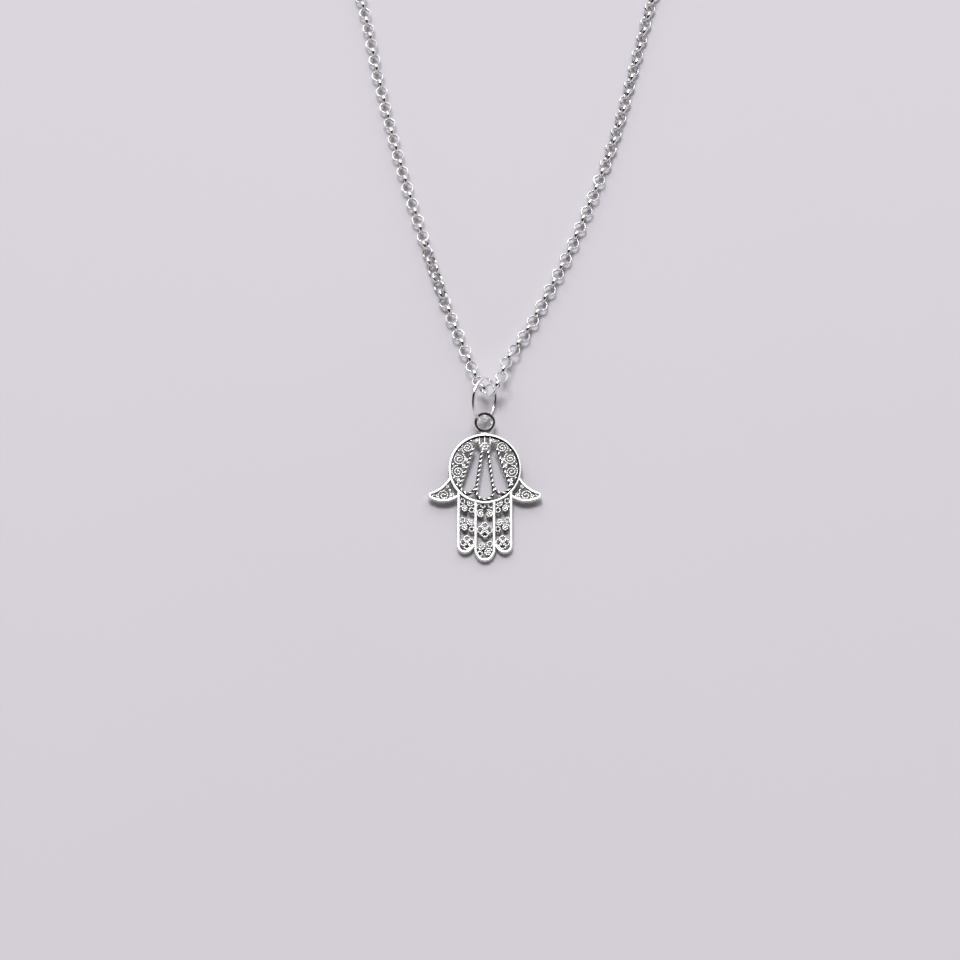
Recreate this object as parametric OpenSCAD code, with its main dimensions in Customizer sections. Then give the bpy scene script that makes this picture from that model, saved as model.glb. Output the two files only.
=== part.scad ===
// Silver filigree hamsa pendant on a jump ring and a fine link chain, lying on a flat surface.
// Millimetres. +Z is up from the surface, +Y runs from the fingertips to the clasp.
// The origin is on the surface, under the middle of the whole necklace.

/* [Palm] */
// Outside diameter of the round palm
palm_d = 11.8; // [11.2:0.1:12.6]
// Width of the frame strip, seen from the front
wall_w = 0.5; // [0.4:0.02:0.6]
// Height of the frame strip, from the back to the front
wall_h = 1.0; // [0.9:0.05:1.3]

/* [Fingers] */
// Width across the three fingers
block_w = 8.9; // [8.4:0.1:9.2]
// Width of the middle finger
middle_w = 3.44; // [3.2:0.04:3.8]
// From the palm's centre to the middle fingertip
middle_reach = 15.4; // [15:0.1:16.4]
// From the palm's centre to the tips of the other two fingers
side_reach = 14.1; // [13.6:0.1:14.6]
// Outside radius of the middle fingertip
middle_tip_r = 1.5; // [1.4:0.05:1.6]
// Outside radius of the tips of the other two fingers
tip_r = 1.3; // [1.2:0.05:1.4]

/* [Thumbs] */
// Width across both thumbs
span = 18.2; // [17.4:0.1:19]
// Outside radius of the thumb tips
thumb_tip_r = 0.68; // [0.6:0.02:0.8]

/* [Filigree] */
// Width of the flattened scroll wire
wire_w = 0.24; // [0.2:0.01:0.28]
// Height of the scroll wire
wire_h = 0.5; // [0.4:0.05:0.7]
// Thickness of the twisted rope wire round the petals
rope_d = 0.5; // [0.44:0.02:0.56]
// Radius of the petals' round ends, as a share of the palm's open field
petal_share = 0.24; // [0.234:0.001:0.246]
// Diameter of the grains above the petals, as a share of the palm's open field
grain_share = 0.115; // [0.11:0.001:0.13]

/* [Eye] */
// Outside diameter of the eye that the jump ring passes through
eye_d = 3.56; // [3.4:0.02:4]
// Thickness of the eye's wire
eye_wire = 0.68; // [0.5:0.02:0.74]
// Space that the solder fills between the eye and the palm
eye_gap = 0.2; // [0.1:0.05:0.5]

/* [Jump ring] */
// Outside diameter of the jump ring
ring_d = 7.2; // [7:0.1:7.6]
// Thickness of the jump ring's wire
ring_wire = 0.5; // [0.4:0.02:0.54]
// Angle of the jump ring above the surface
ring_tilt = 62; // [58:1:66]
// Bearing of the jump ring's high side, anticlockwise from +X
ring_bearing = 162; // [158:1:166]

/* [Chain and clasp] */
// Width of the chain's round links
chain_d = 2.1; // [1.8:0.1:2.2]
// Outside diameter of the clasp's ring
clasp_d = 6; // [5.6:0.1:6.6]
// Thickness of the clasp's ring
clasp_wire = 1.2; // [1:0.05:1.4]
// Outside diameter of the small tag that the chain is linked to
tag_d = 2.8; // [2.6:0.1:3.2]
// Thickness of the tag's wire
tag_wire = 0.6; // [0.5:0.05:0.7]
// Clearance between the clasp and each end of the chain
end_gap = 0.15; // [0.1:0.05:0.3]

/* [Lie] */
// Angle that the pendant leans up from its fingertips onto the jump ring
lean = 3.5; // [3:0.1:4.2]

/* [Hidden] */
$fn = 72;

// Palm and finger places, from the palm's centre
palm_r = palm_d / 2;
field_r = palm_r - wall_w;
side_x = block_w / 2 - tip_r;
finger_in = middle_w / 2;
side_w = block_w / 2 - wall_w - finger_in;
mid_w = middle_w - 2 * wall_w;

// Slopes of the fingertips, from the end of the tip's arc. Each slope starts a hair inside the arc.
side_slope = 45;
middle_slope = 60;
slope_start = 0.99;

// The filigree lies in the middle of the frame's height
wire_z = (wall_h - wire_h) / 2;
rope_z = (wall_h - rope_d) / 2;

// Beads at the ends of the scrolls, beads in flowers and corners, and the wires that hold the grains
tip_bead_d = 1.5 * wire_w;
bead_d = 2.4 * wire_w;
strut_w = 1.4 * wire_w;

// Share of its first radius that a scroll loses over all its half circles
tighten_share = 0.92;

// Width of a finger's wires where two motifs touch
touch = wire_w / 3;

// Thumb: a convex lower edge and a hollow upper edge meet in a round tip
thumb_x = span / 2 - thumb_tip_r;
thumb_y = -0.763 * palm_r;
belly = [0.28, -0.945];
hollow = [0.45, -0.55];
low_root_y = -0.78 * palm_r;
top_root = palm_r * [cos(-14), sin(-14)];
low_arc = arc_through(
    [block_w / 2 - wall_w, low_root_y], beside(belly), [thumb_x, thumb_y - thumb_tip_r]);
top_arc = arc_through(top_root, beside(hollow), [thumb_x, thumb_y + thumb_tip_r]);

// A place on the thumb's edge: share of the way out from the palm, and share of the palm's radius
function beside(share) = [palm_r + share.x * (span / 2 - palm_r), share.y * palm_r];

// Circle through three points, as [x, y, radius]
function arc_through(a, b, c) =
    let (
        d = 2 * (a.x * (b.y - c.y) + b.x * (c.y - a.y) + c.x * (a.y - b.y)),
        x = ((a * a) * (b.y - c.y) + (b * b) * (c.y - a.y) + (c * c) * (a.y - b.y)) / d,
        y = ((a * a) * (c.x - b.x) + (b * b) * (a.x - c.x) + (c * c) * (b.x - a.x)) / d
    )
    [x, y, norm([x, y] - a)];

// Petals: where a side starts and where its round end sits, as shares of the field, and the round
// end's radius as a share of petal_r. The middle petal's sides also close the two beside it.
SIDE_X = 0;
SIDE_Y = 1;
END_X = 2;
END_Y = 3;
ROUND = 4;
middle_petal = [0.083, 0.574, 0.000, -0.700, 1.08];
side_petal = [0.343, 0.667, 0.511, -0.540, 0.93];
side_sweep = 194;
petal_r = petal_share * field_r;
straight_d = 0.96 * rope_d;
tuck = 0.1 * rope_d;
function start_of(p) = [p[SIDE_X], p[SIDE_Y]] * field_r;
function end_of(p) = [p[END_X], p[END_Y]] * field_r;

// Direction of a petal's side, which touches the outer side of its round end
function slant(p) =
    let (run = end_of(p) - start_of(p))
    atan2(run.y, run.x) + asin(p[ROUND] * petal_r / norm(run));

// Scrolls beside the petals: place and reach as shares of the field, first angle, hand
PLACE_X = 0;
PLACE_Y = 1;
REACH = 2;
TURN = 3;
HAND = 4;
COILS = 5;
palm_scrolls = [
    [0.524, 0.650, 0.190, 300, 1, 4],
    [0.756, 0.330, 0.196, 120, 1, 4],
    [0.798, -0.074, 0.203, 90, -1, 4],
    [0.560, 0.270, 0.080, 20, 1, 2],
    [0.640, 0.090, 0.080, 250, -1, 2],
    [0.800, -0.370, 0.086, 60, 1, 2],
    [0.262, 0.890, 0.086, 200, -1, 2]];
thumb_scrolls = [
    [1.102, -0.741, 0.196, 150, 1, 4],
    [1.370, -0.824, 0.104, 0, -1, 2],
    [0.911, -0.759, 0.094, 90, 1, 2],
    [1.034, -0.500, 0.075, 60, 1, 2]];

// Beads fill corners between the scrolls. In the palm each has a bearing, and all sit one share of
// the field out. The one in a thumb has its place in shares of the palm's radius.
bead_bearings = [64.6, 36, 8.5, -17, -31];
bead_out = 0.963;
thumb_bead = [0.949, -0.610];

// Clusters in the fingers: share of the way from the palm to the fingertip, then a step
// towards the tip in finger widths, so that the first and last ones stay with their ends
WAY = 0;
STEP = 1;
MOTIF = 2;
HORNS = 0;
CROSSED = 1;
FLOWER = 2;
BAR = 3;
side_clusters = [[0, 0.11, CROSSED], [0.415, 0, CROSSED], [1, -0.834, FLOWER]];
middle_clusters = [[0, 0.12, BAR], [0, 0.62, HORNS], [0.449, 0, FLOWER], [1, -0.852, CROSSED]];

// Grains stand in rows, each one grain shorter than the row above it
grain_rows = [4, 3, 2];
grain_d = grain_share * field_r;
grain_step = 0.92 * grain_d;
grain_top = 0.787 * field_r;
strut_x = 1.5 * grain_step;
grain_rise = 0.05;
grain_z = wall_h / 2 + grain_rise;

// Eye and solder neck
eye_r = (eye_d - eye_wire) / 2;
eye_y = palm_r + eye_gap + eye_d / 2;
neck_foot = 2.4;
neck_head = 1.5;
neck_h = 0.6 * wall_h;
neck_low = palm_r - wall_w / 2;
neck_high = palm_r + eye_gap + eye_wire / 2;

// Jump ring: it stands on the surface and passes through the eye at the eye's middle height,
// beside the eye's centre by the distances in hook
ring_r = (ring_d - ring_wire) / 2;
hook = [-0.35, 0.5];
eye_at = laid([0, eye_y, wall_h / 2]);
ring_z = ring_r * sin(ring_tilt) + ring_wire / 2;
ring_turn = asin((eye_at.z - ring_z) / (ring_r * sin(ring_tilt)));
ring_level = [-sin(ring_bearing), cos(ring_bearing)];
ring_climb = [cos(ring_bearing), sin(ring_bearing)] * cos(ring_tilt);
ring_at = [eye_at.x, eye_at.y] + hook
    - ring_r * (cos(ring_turn) * ring_level + sin(ring_turn) * ring_climb);

// A point of the flat pendant, after it leans up from its fingertips
function laid(p) =
    let (reach = p.y + middle_reach)
    [p.x, reach * cos(lean) - p.z * sin(lean) - middle_reach, reach * sin(lean) + p.z * cos(lean)];

// Route of the chain, measured from the palm's centre, from the tag round to the clasp's ring.
// The third figure is how far the chain is lifted off the surface.
chain_r = chain_d / 2;
route = [
    [0, 205, 0], [-10, 203, 0], [-20, 198.5, 0], [-30, 190.5, 0], [-38, 180, 0], [-43, 168, 0],
    [-45, 154, 0], [-41, 137, 0], [-34, 120, 0], [-26.8, 103.5, 0], [-21.4, 87, 0], [-18.3, 72, 0],
    [-14.5, 56, 0], [-10.3, 41.5, 0], [-6.5, 29.5, 0], [-3.9, 22.4, 0.1], [-2.4, 18.6, 0.4],
    [-1.4, 15.5, 1], [-0.5, 13.6, 1.6], [0.65, 12.9, 2.2], [1.85, 13.3, 2.7], [2.7, 15.1, 2.6],
    [3.4, 17.9, 1.6], [4.9, 20.8, 0.5], [6.7, 23.8, 0], [9.4, 28.9, 0], [14.2, 39, 0],
    [18.8, 50.5, 0], [22.6, 62, 0], [26, 75, 0], [29.4, 88, 0], [34.8, 104, 0], [42, 120.5, 0],
    [49, 137.5, 0], [53, 154, 0], [51, 168, 0], [46, 180, 0], [38, 190.5, 0], [28, 198.5, 0],
    [18, 203, 0], [8.6, 205, 0]];
chain_sides = 8;
route_steps = 2;

// Middle of the necklace on the surface
route_x = [for (p = route) p.x];
route_y = [for (p = route) p.y];
low_y = -middle_reach - wall_h * sin(lean);
middle = [(min(route_x) + max(route_x)) / 2, (max(route_y) + chain_r + low_y) / 2];

// Clasp: its ring lies at the chain's height, with the tag towards the chain's first end
clasp_r = (clasp_d - clasp_wire) / 2;
tag_r = (tag_d - tag_wire) / 2;
clasp_at = [route[len(route) - 1].x - end_gap - clasp_d / 2, route[0].y, chain_r];
tag_at = [route[0].x + end_gap + tag_d / 2, route[0].y, chain_r];

// One flat shape as thick as the frame, or past both its faces where it cuts through
module slab(inset) {
    past = inset > 0 ? wall_h : 0;
    translate([0, 0, -past]) linear_extrude(wall_h + 2 * past) children();
}

// A side finger: a round end and a straight slope up to the notch
module side_finger(inset, inner_x) {
    slope_r = slope_start * (tip_r - inset);
    slope_x = side_x - slope_r * cos(side_slope);
    slope_y = tip_r - side_reach - slope_r * sin(side_slope);
    slab(inset) translate([side_x, tip_r - side_reach]) circle(tip_r - inset);
    slab(inset) polygon([
        [block_w / 2 - inset, 0],
        [block_w / 2 - inset, tip_r - side_reach],
        [side_x, tip_r - side_reach],
        [slope_x, slope_y],
        [inner_x, slope_y + (slope_x - inner_x) * tan(side_slope)],
        [inner_x, 0]]);
}

module middle_finger(inset) {
    slope_r = slope_start * (middle_tip_r - inset);
    slope_x = slope_r * sin(middle_slope);
    slope_y = middle_tip_r - middle_reach - slope_r * cos(middle_slope);
    edge_x = middle_w / 2 - inset;
    edge_y = slope_y + (edge_x - slope_x) * tan(middle_slope);
    slab(inset) translate([0, middle_tip_r - middle_reach]) circle(middle_tip_r - inset);
    slab(inset) polygon([
        [edge_x, 0], [edge_x, edge_y], [slope_x, slope_y], [0, middle_tip_r - middle_reach],
        [-slope_x, slope_y], [-edge_x, edge_y], [-edge_x, 0]]);
}

// A thumb grows from the finger block, so its own root lies inside the block's wall
module thumb(inset) {
    root_x = block_w / 2 - (inset > 0 ? 0 : wall_w);
    difference() {
        slab(inset) translate([low_arc.x, low_arc.y]) circle(low_arc.z - inset);
        slab(1) translate([top_arc.x, top_arc.y]) circle(top_arc.z + inset);
        slab(1) translate([root_x - palm_d, -palm_d]) square([palm_d, 2 * palm_d]);
        slab(1) translate([thumb_x, -palm_d]) square([palm_d, 2 * palm_d]);
        slab(1) translate([-palm_d, 0]) square([2 * palm_d, palm_d]);
    }
    slab(inset) translate([thumb_x, thumb_y]) circle(thumb_tip_r - inset);
}

module both_sides() {
    children();
    mirror([1, 0, 0]) children();
}

// The strip frame: palm ring, three fingers and two thumbs, open between the strips
module frame_outline() {
    slab(0) circle(palm_r);
    middle_finger(0);
    both_sides() {
        side_finger(0, finger_in - wall_w);
        thumb(0);
    }
}

module frame_openings() {
    difference() {
        union() {
            middle_finger(wall_w);
            both_sides() {
                side_finger(wall_w, finger_in);
                thumb(wall_w);
            }
        }
        slab(2) circle(palm_r);
    }
    slab(1) circle(field_r);
}

module strip_frame() {
    difference() {
        frame_outline();
        frame_openings();
    }
}

// Flat wire on edge, bent to part of a circle round the origin
module bent_wire(r, from, sweep) {
    rotate([0, 0, from]) rotate_extrude(angle = sweep)
        translate([r - wire_w / 2, wire_z]) square([wire_w, wire_h]);
}

// Flat wire on edge, straight between two points
module straight_wire(a, b, w) {
    run = b - a;
    translate([a.x, a.y, wire_z]) rotate([0, 0, atan2(run.y, run.x)])
        translate([0, -w / 2, 0]) cube([norm(run), w, wire_h]);
}

// A scroll: half circles that tighten towards a bead, inside a circle of the given reach
module scroll(reach, coils) {
    r = reach - wire_w / 2;
    tighten = tighten_share / coils;
    radii = [for (i = [0 : coils - 1]) r * (1 - i * tighten)];
    centres = [for (i = 0, x = 0; i < coils;
        x = x + (i % 2 == 0 ? -1 : 1) * (radii[i] - (i + 1 < coils ? radii[i + 1] : 0)), i = i + 1) x];
    last = coils - 1;
    for (i = [0 : last]) translate([centres[i], 0, 0]) bent_wire(radii[i], i * 180, 180);
    translate([centres[last] + (last % 2 == 0 ? -1 : 1) * radii[last], 0, wire_z])
        cylinder(d = tip_bead_d, h = wire_h);
}

module scroll_field(table, whole) {
    for (s = table)
        translate([s[PLACE_X] * whole, s[PLACE_Y] * whole, 0])
            mirror([s[HAND] < 0 ? 1 : 0, 0, 0])
                rotate([0, 0, s[TURN]]) scroll(s[REACH] * whole, s[COILS]);
}

// Rope wire down a petal's side: a hair thinner than the round end, and tucked into it
module petal_side(p) {
    start = start_of(p);
    run = end_of(p) - start;
    length = sqrt(run * run - pow(p[ROUND] * petal_r, 2));
    translate([start.x, start.y, rope_z]) rotate([0, 0, slant(p)])
        translate([0, -straight_d / 2, 0]) cube([length + tuck, straight_d, rope_d]);
}

module petal_end(p, sweep) {
    end = end_of(p);
    translate([end.x, end.y, rope_z]) rotate([0, 0, slant(p) + 90 - sweep])
        rotate_extrude(angle = sweep)
            translate([p[ROUND] * petal_r - rope_d / 2, 0]) square(rope_d);
}

module bead(place) {
    translate([place.x, place.y, wire_z]) cylinder(d = bead_d, h = wire_h + wire_w / 2);
}

module thumb_filigree() {
    scroll_field(thumb_scrolls, palm_r);
    bead(thumb_bead * palm_r);
}

module palm_filigree() {
    petal_end(middle_petal, 2 * (slant(middle_petal) + 180));
    both_sides() {
        petal_side(middle_petal);
        petal_side(side_petal);
        petal_end(side_petal, side_sweep);
        scroll_field(palm_scrolls, field_r);
        for (a = bead_bearings) bead(bead_out * field_r * [cos(a), sin(a)]);
    }
}

// Grains above the petals, hung from the palm ring by three short wires
module grain_cluster() {
    for (row = [0 : len(grain_rows) - 1])
        for (i = [0 : grain_rows[row] - 1])
            translate([
                (i - (grain_rows[row] - 1) / 2) * grain_step,
                grain_top - row * grain_step * sin(60),
                grain_z])
                sphere(d = grain_d);
    for (x = [-strut_x, 0, strut_x])
        straight_wire([x, grain_top], [x, palm_r - wall_w / 2], strut_w);
}

// Two scrolls side by side, curling towards each other
module horns(w) {
    both_sides() translate([-w / 4, 0, 0]) rotate([0, 0, 60]) scroll(w / 4 + touch, 3);
}

// Two scrolls set corner to corner, with a small ring in each other corner
module crossed(w) {
    for (turn = [0, 180]) rotate([0, 0, turn]) {
        translate([-w / 4, w / 5, 0]) rotate([0, 0, 200]) scroll(w / 4 + touch, 3);
        translate([w / 3, w / 3, 0]) bent_wire(w / 6, 0, 360);
    }
}

// Four small rings round a bead
module flower(w) {
    for (turn = [0 : 90 : 270]) rotate([0, 0, turn])
        translate([w / 4, 0, 0]) bent_wire(w / 4 - touch / 2, 0, 360);
    bead([0, 0]);
}

// A wavy wire: four half circles in a row, turned up and down by turns
module waves(w) {
    for (i = [0 : 3])
        translate([(i - 1.5) * w / 4, 0, 0]) bent_wire(w / 8, i % 2 * 180, 180);
}

module cluster(kind, w) {
    if (kind == HORNS) horns(w);
    if (kind == CROSSED) crossed(w);
    if (kind == FLOWER) flower(w);
    if (kind == BAR) waves(w);
}

module clusters(table, reach, w) {
    for (c = table)
        translate([0, -palm_r - c[WAY] * (reach - palm_r) - c[STEP] * w, 0]) cluster(c[MOTIF], w);
}

module finger_filigree() {
    clusters(middle_clusters, middle_reach, mid_w);
    both_sides() translate([finger_in + side_w / 2, 0, 0])
        clusters(side_clusters, side_reach, side_w);
}

// Round eye and the solder that joins it to the palm
module eye() {
    translate([0, eye_y, wall_h / 2]) rotate_extrude() translate([eye_r, 0]) circle(d = eye_wire);
    translate([0, 0, (wall_h - neck_h) / 2]) linear_extrude(neck_h) polygon([
        [-neck_foot / 2, neck_low], [neck_foot / 2, neck_low],
        [neck_head / 2, neck_high], [-neck_head / 2, neck_high]]);
}

module from_palm() {
    translate([-middle.x, -middle.y, 0]) children();
}

// Each piece of the flat pendant leans up from the fingertips on its own, and is then joined
module leaning() {
    translate([-middle.x, -middle.y - middle_reach, 0]) rotate([lean, 0, 0])
        translate([0, middle_reach, 0]) children();
}

module hamsa_pendant() {
    color("silver") {
        leaning() strip_frame();
        leaning() palm_filigree();
        leaning() grain_cluster();
        leaning() both_sides() thumb_filigree();
        leaning() finger_filigree();
        leaning() eye();
    }
}

module jump_ring() {
    color("gainsboro") from_palm() translate([ring_at.x, ring_at.y, ring_z])
        rotate([0, 0, ring_bearing]) rotate([0, -ring_tilt, 0])
            rotate_extrude() translate([ring_r, 0]) circle(d = ring_wire);
}

// Points of a smooth curve through the route, never lower than the surface lets the chain lie
function curve_point(a, b, c, d, t) =
    (2 * b + (c - a) * t + (2 * a - 5 * b + 4 * c - d) * t * t + (3 * b - a - 3 * c + d) * t * t * t) / 2;
function rested(p) = [p.x, p.y, chain_r + max(p.z, 0)];
function smooth(points, steps) =
    let (last = len(points) - 1)
    [for (i = [0 : last - 1], k = [0 : steps - 1])
        rested(curve_point(
            points[max(i - 1, 0)], points[i], points[i + 1], points[min(i + 2, last)], k / steps)),
     rested(points[last])];

function unit(v) = v / norm(v);
function heading(points, i) = unit(points[min(i + 1, len(points) - 1)] - points[max(i - 1, 0)]);
function section(centre, along, r, sides) =
    let (
        across = unit(cross([0, 0, 1], along)),
        above = cross(along, across)
    )
    [for (k = [0 : sides - 1])
        centre + r * (cos(360 * k / sides) * across + sin(360 * k / sides) * above)];

module tube(points, r, sides) {
    count = len(points);
    rings = [for (i = [0 : count - 1]) each section(points[i], heading(points, i), r, sides)];
    walls = [for (i = [0 : count - 2], k = [0 : sides - 1]) [
        i * sides + k, i * sides + (k + 1) % sides,
        (i + 1) * sides + (k + 1) % sides, (i + 1) * sides + k]];
    first = [[for (k = [sides - 1 : -1 : 0]) k]];
    last = [[for (k = [0 : sides - 1]) (count - 1) * sides + k]];
    polyhedron(rings, concat(walls, first, last));
}

module chain() {
    color("lightgray") from_palm() tube(smooth(route, route_steps), chain_r, chain_sides);
}

module clasp() {
    color("gainsboro") from_palm() {
        translate(clasp_at) rotate_extrude() translate([clasp_r, 0]) circle(d = clasp_wire);
        translate(tag_at) rotate_extrude() translate([tag_r, 0]) circle(d = tag_wire);
    }
}

hamsa_pendant();
jump_ring();
chain();
clasp();
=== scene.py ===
# %% [markdown]
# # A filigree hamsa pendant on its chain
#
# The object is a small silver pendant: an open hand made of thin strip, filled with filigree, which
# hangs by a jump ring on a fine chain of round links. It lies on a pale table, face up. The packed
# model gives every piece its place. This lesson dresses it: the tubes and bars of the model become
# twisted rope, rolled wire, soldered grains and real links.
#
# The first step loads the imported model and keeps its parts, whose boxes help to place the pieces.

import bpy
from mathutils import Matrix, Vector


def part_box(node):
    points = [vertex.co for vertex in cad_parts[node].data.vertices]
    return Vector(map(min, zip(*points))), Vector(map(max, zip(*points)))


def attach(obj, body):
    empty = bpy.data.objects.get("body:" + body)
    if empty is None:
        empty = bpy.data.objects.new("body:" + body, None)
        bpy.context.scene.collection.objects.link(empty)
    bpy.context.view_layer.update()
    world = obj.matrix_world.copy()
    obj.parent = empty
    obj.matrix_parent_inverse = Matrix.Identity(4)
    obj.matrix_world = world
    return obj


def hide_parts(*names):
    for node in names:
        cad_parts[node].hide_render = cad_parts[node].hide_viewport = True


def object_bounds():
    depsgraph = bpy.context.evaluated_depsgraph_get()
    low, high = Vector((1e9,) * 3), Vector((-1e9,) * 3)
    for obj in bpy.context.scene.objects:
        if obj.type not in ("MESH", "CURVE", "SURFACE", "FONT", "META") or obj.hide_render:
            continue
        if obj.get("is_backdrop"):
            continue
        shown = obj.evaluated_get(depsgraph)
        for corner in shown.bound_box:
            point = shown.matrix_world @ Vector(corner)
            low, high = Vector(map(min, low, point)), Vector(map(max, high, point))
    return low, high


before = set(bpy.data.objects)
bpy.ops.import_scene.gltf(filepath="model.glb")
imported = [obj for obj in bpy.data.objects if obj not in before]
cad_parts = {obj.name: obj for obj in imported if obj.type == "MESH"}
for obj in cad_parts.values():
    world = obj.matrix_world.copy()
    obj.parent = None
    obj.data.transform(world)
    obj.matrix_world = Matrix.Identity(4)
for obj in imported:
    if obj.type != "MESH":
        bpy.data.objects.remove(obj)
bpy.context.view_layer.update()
print("nodes:", sorted(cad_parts))

# %% [markdown]
# ## Where things are
#
# A jeweller measures in millimetres, so the pieces are drawn in millimetres, flat, from the centre
# of the round palm, and laid in place afterwards. Blender works in metres. The palm's centre comes
# from the pendant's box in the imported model: halfway between the thumbs, and one middle finger
# above the lowest point. The pendant leans up a little from its fingertips, because its eye rests
# on the jump ring.

# %% Sizes and the lie of the pendant
import math
from math import cos, pi, radians, sin

import bmesh
import bpy
from mathutils import Matrix, Vector

MM = 0.001
LEAN = radians(3.5)
PALM_R = 5.9
MIDDLE_REACH = 15.4
SIDE_REACH = 14.1
BLOCK_W = 8.9
MIDDLE_W = 3.44
WALL_W = 0.5
WALL_H = 1.0
FIELD_R = PALM_R - WALL_W

pendant_low, pendant_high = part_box("hamsa_pendant")
palm = Vector((
    (pendant_low.x + pendant_high.x) / 2,
    pendant_low.y + (MIDDLE_REACH + WALL_H * sin(LEAN)) * MM,
    0))
SPAN = (pendant_high.x - pendant_low.x) / MM

FROM_PALM = Matrix.Translation(palm) @ Matrix.Scale(MM, 4)
LAID = (FROM_PALM @ Matrix.Translation((0, -MIDDLE_REACH, 0)) @ Matrix.Rotation(LEAN, 4, "X")
        @ Matrix.Translation((0, MIDDLE_REACH, 0)))
print("palm centre:", [round(c, 5) for c in palm], "span mm:", round(SPAN, 2))

# %% [markdown]
# ## Camera
#
# The photograph looks down at the table from 70 degrees. A long lens keeps the flat pendant's
# shape. The camera's place is given in millimetres from the palm's centre, so it follows the
# pendant if the necklace's box changes.

# %% Camera
CAMERA_AT = (-0.772, -126.414, 343.544)
CAMERA_TILT = 20
LENS = 85
SENSOR = 36
NEAREST = 0.01

camera = bpy.data.objects.new("camera", bpy.data.cameras.new("camera"))
camera.data.lens = LENS
camera.data.sensor_width = SENSOR
camera.data.clip_start = NEAREST
camera.location = FROM_PALM @ Vector(CAMERA_AT)
camera.rotation_euler = (radians(CAMERA_TILT), 0, 0)
bpy.context.scene.collection.objects.link(camera)
bpy.context.scene.camera = camera
print("camera at", [round(c, 4) for c in camera.location])

# %% [markdown]
# ## Building node trees
#
# Shader trees and geometry trees are both made of nodes joined by links. One small helper places a
# node, sets its options, and fills each input with a number or with a link, so that a tree reads
# from top to bottom like a recipe. Two shorter ones do a step of arithmetic and mix two colours.

# %% Helpers that place nodes
def node(tree, kind, inputs=(), **options):
    """One node, with its options set and its inputs filled with numbers or links."""
    made = tree.nodes.new(kind)
    for key, value in options.items():
        setattr(made, key, value)
    for key, value in dict(inputs).items():
        if isinstance(value, bpy.types.NodeSocket):
            tree.links.new(value, made.inputs[key])
        else:
            made.inputs[key].default_value = value
    return made


def sums(tree, operation, a, b=0.0):
    """The result of one step of arithmetic."""
    return node(tree, "ShaderNodeMath", {0: a, 1: b}, operation=operation).outputs[0]


def mixed(tree, share, first, second):
    """A colour between two others, by the share of the second."""
    return node(tree, "ShaderNodeMix", {0: share, 6: first, 7: second}, data_type="RGBA").outputs[2]


# %% [markdown]
# ## Table, light and surroundings
#
# Polished silver has hardly any colour of its own: it shows what stands round it. Here the room is
# dark overhead, which draws the black lines along the wires and the black spots on the links, and
# bright low down all round. A wide softbox behind the pendant turns white whatever leans away from
# the viewer. A smaller, stronger lamp above it whitens the satin faces that lie flat, and throws
# the short shadows. The camera itself sees a plain pale backdrop.

# %% Table
def plane(name, size):
    """A level square round the origin."""
    half = size / 2
    mesh = bpy.data.meshes.new(name)
    mesh.from_pydata([(-half, -half, 0), (half, -half, 0), (half, half, 0), (-half, half, 0)], [],
                     [(0, 1, 2, 3)])
    made = bpy.data.objects.new(name, mesh)
    bpy.context.scene.collection.objects.link(made)
    return made


TABLE_SIZE = 12
TABLE_TONE = (0.735, 0.698, 0.75, 1)
TABLE_SHADE = (0.71, 0.674, 0.726, 1)

table = plane("table", TABLE_SIZE)
paper = bpy.data.materials.new("pale paper")
paper.use_nodes = True
tree = paper.node_tree
surface = tree.nodes["Principled BSDF"]
where = node(tree, "ShaderNodeTexCoord")
mottle = node(tree, "ShaderNodeTexNoise", {
    "Vector": where.outputs["Object"], "Scale": 9.0, "Detail": 2.0})
tone = mixed(tree, mottle.outputs[0], TABLE_SHADE, TABLE_TONE)
tree.links.new(tone, surface.inputs["Base Color"])
surface.inputs["Roughness"].default_value = 0.85
surface.inputs["Specular IOR Level"].default_value = 0.15
table.data.materials.append(paper)
table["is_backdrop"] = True
print("table:", TABLE_SIZE, "m across")

# %% Lights
def softbox(name, place, width, depth, brightness):
    """A rectangle of even light that faces the palm. Its brightness is what a mirror would show."""
    lamp = bpy.data.lights.new(name, "AREA")
    lamp.shape = "RECTANGLE"
    lamp.size, lamp.size_y = width, depth
    lamp.energy = brightness * pi * width * depth
    made = bpy.data.objects.new(name, lamp)
    made.location = palm + Vector(place)
    made.rotation_euler = Vector(place).to_track_quat("Z", "Y").to_euler()
    bpy.context.scene.collection.objects.link(made)


softbox("large back light", place=(0.0, 1.66, 1.7), width=4.0, depth=2.0, brightness=1.5)
softbox("key light", place=(-0.2, 0.92, 2.1), width=0.8, depth=0.7, brightness=16.5)

# %% Surroundings
LOW_DOWN = (0.8, 0.8, 0.81, 1)
HALFWAY = (0.55, 0.55, 0.56, 1)
OVERHEAD = (0.012, 0.012, 0.013, 1)
BACKDROP = (0.66, 0.64, 0.68, 1)

world = bpy.data.worlds.new("studio")
bpy.context.scene.world = world
world.use_nodes = True
tree = world.node_tree
tree.nodes.clear()
towards = node(tree, "ShaderNodeTexCoord").outputs["Generated"]
height = node(tree, "ShaderNodeSeparateXYZ", {0: towards}).outputs["Z"]
ramp = node(tree, "ShaderNodeValToRGB", {0: height})
stops = ramp.color_ramp.elements
stops[0].position, stops[0].color = 0.0, LOW_DOWN
stops[1].position, stops[1].color = 0.62, OVERHEAD
stops.new(0.3).color = HALFWAY
camera_ray = node(tree, "ShaderNodeLightPath").outputs["Is Camera Ray"]
back = node(tree, "ShaderNodeBackground", {
    "Color": mixed(tree, camera_ray, ramp.outputs[0], BACKDROP), "Strength": 1.0})
node(tree, "ShaderNodeOutputWorld", {"Surface": back.outputs[0]})
bpy.context.scene.view_settings.view_transform = "Standard"
print("tones of the surroundings:", len(stops))
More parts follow.
